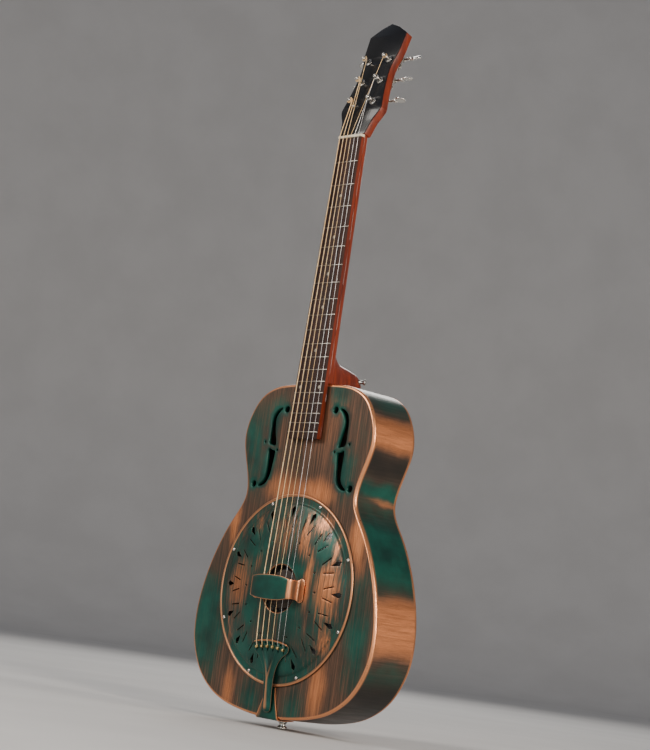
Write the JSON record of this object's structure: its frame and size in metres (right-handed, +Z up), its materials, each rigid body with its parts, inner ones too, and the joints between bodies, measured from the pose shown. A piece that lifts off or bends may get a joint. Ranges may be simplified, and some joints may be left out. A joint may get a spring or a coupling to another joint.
{
  "type": "resonator guitar",
  "caption": "Metal-bodied single-cone resonator guitar with domed pierced coverplate, hand rest, long tailpiece and worm-geared tuners.",
  "frame": {"origin": "centre of the end pin's outer face, the lowest point of the guitar", "axes": "+Z up along the neck, the front faces -Y, +X is the treble side"},
  "size_m": [0.3618, 0.111, 1.0131],
  "materials": {
    "body_metal": "worn copper and green patina, brushed",
    "well_metal": "dull",
    "cone_aluminium": "spun",
    "nickel": "polished nickel",
    "steel": "bright",
    "wound_bronze": "wound bronze",
    "mahogany": "satin lacquer",
    "maple": "bare",
    "ebony": "polished",
    "rosewood": "oiled",
    "black_lacquer": "gloss black",
    "bone": "polished bone"
  },
  "bodies": {
    "guitar": {"body_top": "body_metal", "body_sides": "body_metal", "body_back": "body_metal", "sound_well": "well_metal", "resonator_cone": "cone_aluminium", "biscuit": "maple", "biscuit_screw": "nickel", "saddle": "ebony", "neck_stick": "mahogany", "end_block": "mahogany", "coverplate": "body_metal", "cover_screw_1": "nickel", "cover_screw_2": "nickel", "cover_screw_3": "nickel", "cover_screw_4": "nickel", "cover_screw_5": "nickel", "cover_screw_6": "nickel", "cover_screw_7": "nickel", "cover_screw_8": "nickel", "hand_rest": "body_metal", "tailpiece": "body_metal", "tailpiece_strap": "body_metal", "end_pin": "nickel", "neck": "mahogany", "truss_rod": "steel", "heel_button": "nickel", "headstock_veneer": "black_lacquer", "fretboard": "rosewood", "nut": "bone", "tuner_plate_1": "nickel", "tuner_ferrule_1": "nickel", "tuner_plate_2": "nickel", "tuner_ferrule_2": "nickel", "tuner_plate_3": "nickel", "tuner_ferrule_3": "nickel", "tuner_plate_4": "nickel", "tuner_ferrule_4": "nickel", "tuner_plate_5": "nickel", "tuner_ferrule_5": "nickel", "tuner_plate_6": "nickel", "tuner_ferrule_6": "nickel", "string_1": "wound_bronze", "string_2": "wound_bronze", "string_3": "wound_bronze", "string_4": "wound_bronze", "string_5": "steel", "string_6": "steel"},
    "button_1": {"tuner_button_1": "nickel"},
    "button_2": {"tuner_button_2": "nickel"},
    "button_3": {"tuner_button_3": "nickel"},
    "button_4": {"tuner_button_4": "nickel"},
    "button_5": {"tuner_button_5": "nickel"},
    "button_6": {"tuner_button_6": "nickel"},
    "post_1": {"tuner_post_1": "nickel"},
    "post_2": {"tuner_post_2": "nickel"},
    "post_3": {"tuner_post_3": "nickel"},
    "post_4": {"tuner_post_4": "nickel"},
    "post_5": {"tuner_post_5": "nickel"},
    "post_6": {"tuner_post_6": "nickel"}
  },
  "joints": [
    {"name": "button_turn_1", "type": "hinge", "parent": "guitar", "child": "button_1", "pos_m": [-0.0187, 0.00814, 0.88944], "axis": [-1, 0, 0], "continuous": true},
    {"name": "post_turn_1", "type": "hinge", "parent": "guitar", "child": "post_1", "pos_m": [-0.0187, -0.01415, 0.88468], "axis": [0, -0.9659, 0.2588], "continuous": true},
    {"name": "button_turn_2", "type": "hinge", "parent": "guitar", "child": "button_2", "pos_m": [-0.018, 0.0172, 0.92325], "axis": [-1, 0, 0], "continuous": true},
    {"name": "post_turn_2", "type": "hinge", "parent": "guitar", "child": "post_2", "pos_m": [-0.018, -0.00509, 0.91848], "axis": [0, -0.9659, 0.2588], "continuous": true},
    {"name": "button_turn_3", "type": "hinge", "parent": "guitar", "child": "button_3", "pos_m": [-0.0203, 0.02626, 0.95706], "axis": [-1, 0, 0], "continuous": true},
    {"name": "post_turn_3", "type": "hinge", "parent": "guitar", "child": "post_3", "pos_m": [-0.0203, 0.00396, 0.95229], "axis": [0, -0.9659, 0.2588], "continuous": true},
    {"name": "button_turn_4", "type": "hinge", "parent": "guitar", "child": "button_4", "pos_m": [0.0203, 0.02626, 0.95706], "axis": [1, 0, 0], "continuous": true},
    {"name": "post_turn_4", "type": "hinge", "parent": "guitar", "child": "post_4", "pos_m": [0.0203, 0.00396, 0.95229], "axis": [0, -0.9659, 0.2588], "continuous": true},
    {"name": "button_turn_5", "type": "hinge", "parent": "guitar", "child": "button_5", "pos_m": [0.018, 0.0172, 0.92325], "axis": [1, 0, 0], "continuous": true},
    {"name": "post_turn_5", "type": "hinge", "parent": "guitar", "child": "post_5", "pos_m": [0.018, -0.00509, 0.91848], "axis": [0, -0.9659, 0.2588], "continuous": true},
    {"name": "button_turn_6", "type": "hinge", "parent": "guitar", "child": "button_6", "pos_m": [0.0187, 0.00814, 0.88944], "axis": [1, 0, 0], "continuous": true},
    {"name": "post_turn_6", "type": "hinge", "parent": "guitar", "child": "post_6", "pos_m": [0.0187, -0.01415, 0.88468], "axis": [0, -0.9659, 0.2588], "continuous": true}
  ],
  "couplings": [
    {"joint": "post_turn_1", "follows": "button_turn_1", "ratio": -0.066667},
    {"joint": "post_turn_2", "follows": "button_turn_2", "ratio": -0.066667},
    {"joint": "post_turn_3", "follows": "button_turn_3", "ratio": -0.066667},
    {"joint": "post_turn_4", "follows": "button_turn_4", "ratio": 0.066667},
    {"joint": "post_turn_5", "follows": "button_turn_5", "ratio": 0.066667},
    {"joint": "post_turn_6", "follows": "button_turn_6", "ratio": 0.066667}
  ]
}
